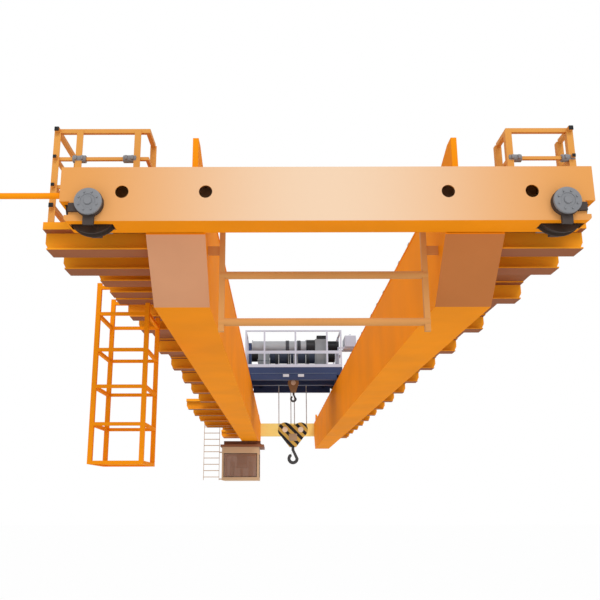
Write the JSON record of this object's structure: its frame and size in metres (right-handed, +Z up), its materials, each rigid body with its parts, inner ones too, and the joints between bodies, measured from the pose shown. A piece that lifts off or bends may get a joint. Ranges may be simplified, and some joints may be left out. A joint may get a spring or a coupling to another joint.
{
  "type": "overhead travelling crane",
  "caption": "Double-girder overhead travelling crane whose end carriages run on top of the runway rails, with a crab trolley, main and auxiliary hook blocks, a hung cab, walkways and a cage.",
  "frame": {"origin": "on the near runway rail's head, midway between the near end carriage's two wheel treads", "axes": "+Z up, +Y along the girders away from the near end carriage, +X along the runway rails to the right seen from the near end"},
  "size_m": [6.267, 28.994, 4.388],
  "materials": {
    "orange": "semi-gloss orange paint",
    "navy": "dark navy paint",
    "lavender": "pale lavender paint",
    "grey_paint": "mid grey paint",
    "black_paint": "black paint",
    "blue_paint": "blue paint",
    "hazard_yellow": "yellow paint with black stripes",
    "hook_steel": "forged, dark",
    "rail_steel": "rolled, worn head",
    "wheel_steel": "forged, worn tread",
    "rope_steel": "greased wire rope",
    "rubber": "matt rubber in a red cup",
    "tinted_glass": "brown tinted panes"
  },
  "bodies": {
    "crane": {"near_end_carriage": "orange", "far_end_carriage": "orange", "wheel_bearing_boxes": "orange", "left_girder": "orange", "right_girder": "orange", "trolley_rails": "rail_steel", "trolley_end_stops": "orange", "left_walkway_deck": "orange", "left_walkway_brackets": "orange", "right_walkway_deck": "orange", "right_walkway_brackets": "orange", "near_platform_railings": "orange", "far_platform_railings": "orange", "inspection_cage": "orange", "cab_shell": "orange", "cab_windows": "tinted_glass", "cab_hanger": "orange", "cab_ladder": "orange", "guard_frame": "orange", "carriage_buffers": "rubber", "limit_arm": "orange", "travel_drives": "grey_paint"},
    "near_left_wheel": {"near_left_wheel": "wheel_steel"},
    "near_right_wheel": {"near_right_wheel": "wheel_steel"},
    "far_left_wheel": {"far_left_wheel": "wheel_steel"},
    "far_right_wheel": {"far_right_wheel": "wheel_steel"},
    "trolley": {"trolley_frame": "navy", "trolley_floor": "navy", "trolley_railing": "lavender", "hoist_gearboxes": "grey_paint", "hoist_motors": "black_paint", "electrical_box": "lavender", "drum_stands": "navy", "main_ropes": "rope_steel", "aux_ropes": "rope_steel"},
    "main_drum": {"main_drum": "blue_paint"},
    "aux_drum": {"aux_drum": "grey_paint"},
    "trolley_front_left_wheel": {"trolley_front_left_wheel": "wheel_steel"},
    "trolley_front_right_wheel": {"trolley_front_right_wheel": "wheel_steel"},
    "trolley_rear_left_wheel": {"trolley_rear_left_wheel": "wheel_steel"},
    "trolley_rear_right_wheel": {"trolley_rear_right_wheel": "wheel_steel"},
    "main_block": {"main_block": "hazard_yellow"},
    "main_hook": {"main_hook": "hook_steel"},
    "aux_block": {"aux_block": "hazard_yellow"},
    "aux_hook": {"aux_hook": "hook_steel"}
  },
  "joints": [
    {"name": "near_left_wheel_spin", "type": "hinge", "parent": "crane", "child": "near_left_wheel", "pos_m": [-2.38, 0, 0.25], "axis": [0, 1, 0], "continuous": true},
    {"name": "near_right_wheel_spin", "type": "hinge", "parent": "crane", "child": "near_right_wheel", "pos_m": [2.38, 0, 0.25], "axis": [0, 1, 0], "continuous": true},
    {"name": "far_left_wheel_spin", "type": "hinge", "parent": "crane", "child": "far_left_wheel", "pos_m": [-2.38, 28.5, 0.25], "axis": [0, 1, 0], "continuous": true},
    {"name": "far_right_wheel_spin", "type": "hinge", "parent": "crane", "child": "far_right_wheel", "pos_m": [2.38, 28.5, 0.25], "axis": [0, 1, 0], "continuous": true},
    {"name": "trolley_travel", "type": "slide", "parent": "crane", "child": "trolley", "axis": [0, 1, 0], "range_m": [-14.2, 10.1]},
    {"name": "trolley_front_left_wheel_spin", "type": "hinge", "parent": "trolley", "child": "trolley_front_left_wheel", "pos_m": [-1.355, 15.15, 0.9093], "axis": [1, 0, 0], "continuous": true},
    {"name": "trolley_front_right_wheel_spin", "type": "hinge", "parent": "trolley", "child": "trolley_front_right_wheel", "pos_m": [1.355, 15.15, 0.9093], "axis": [1, 0, 0], "continuous": true},
    {"name": "trolley_rear_left_wheel_spin", "type": "hinge", "parent": "trolley", "child": "trolley_rear_left_wheel", "pos_m": [-1.355, 17.45, 0.9093], "axis": [1, 0, 0], "continuous": true},
    {"name": "trolley_rear_right_wheel_spin", "type": "hinge", "parent": "trolley", "child": "trolley_rear_right_wheel", "pos_m": [1.355, 17.45, 0.9093], "axis": [1, 0, 0], "continuous": true},
    {"name": "main_drum_spin", "type": "hinge", "parent": "trolley", "child": "main_drum", "pos_m": [0.12, 16.9, 1.79], "axis": [1, 0, 0], "continuous": true},
    {"name": "aux_drum_spin", "type": "hinge", "parent": "trolley", "child": "aux_drum", "pos_m": [-0.43, 15.3, 1.79], "axis": [1, 0, 0], "continuous": true},
    {"name": "main_hoist", "type": "slide", "parent": "trolley", "child": "main_block", "axis": [0, 0, 1], "range_m": [-9, 0.95], "deforming": ["main_ropes"]},
    {"name": "aux_hoist", "type": "slide", "parent": "trolley", "child": "aux_block", "axis": [0, 0, 1], "range_m": [-9, 0.1], "deforming": ["aux_ropes"]},
    {"name": "main_hook_swivel", "type": "hinge", "parent": "main_block", "child": "main_hook", "pos_m": [0, 16.6367, -1.2], "axis": [0, 0, 1], "continuous": true},
    {"name": "aux_hook_swivel", "type": "hinge", "parent": "aux_block", "child": "aux_hook", "pos_m": [0, 15.4803, 0.4], "axis": [0, 0, 1], "continuous": true}
  ],
  "couplings": [
    {"joint": "trolley_front_left_wheel_spin", "follows": "trolley_travel", "rad_per_m": -8},
    {"joint": "trolley_front_right_wheel_spin", "follows": "trolley_travel", "rad_per_m": -8},
    {"joint": "trolley_rear_left_wheel_spin", "follows": "trolley_travel", "rad_per_m": -8},
    {"joint": "trolley_rear_right_wheel_spin", "follows": "trolley_travel", "rad_per_m": -8},
    {"joint": "main_drum_spin", "follows": "main_hoist", "rad_per_m": -3.8023},
    {"joint": "aux_drum_spin", "follows": "aux_hoist", "rad_per_m": 5.5556}
  ]
}
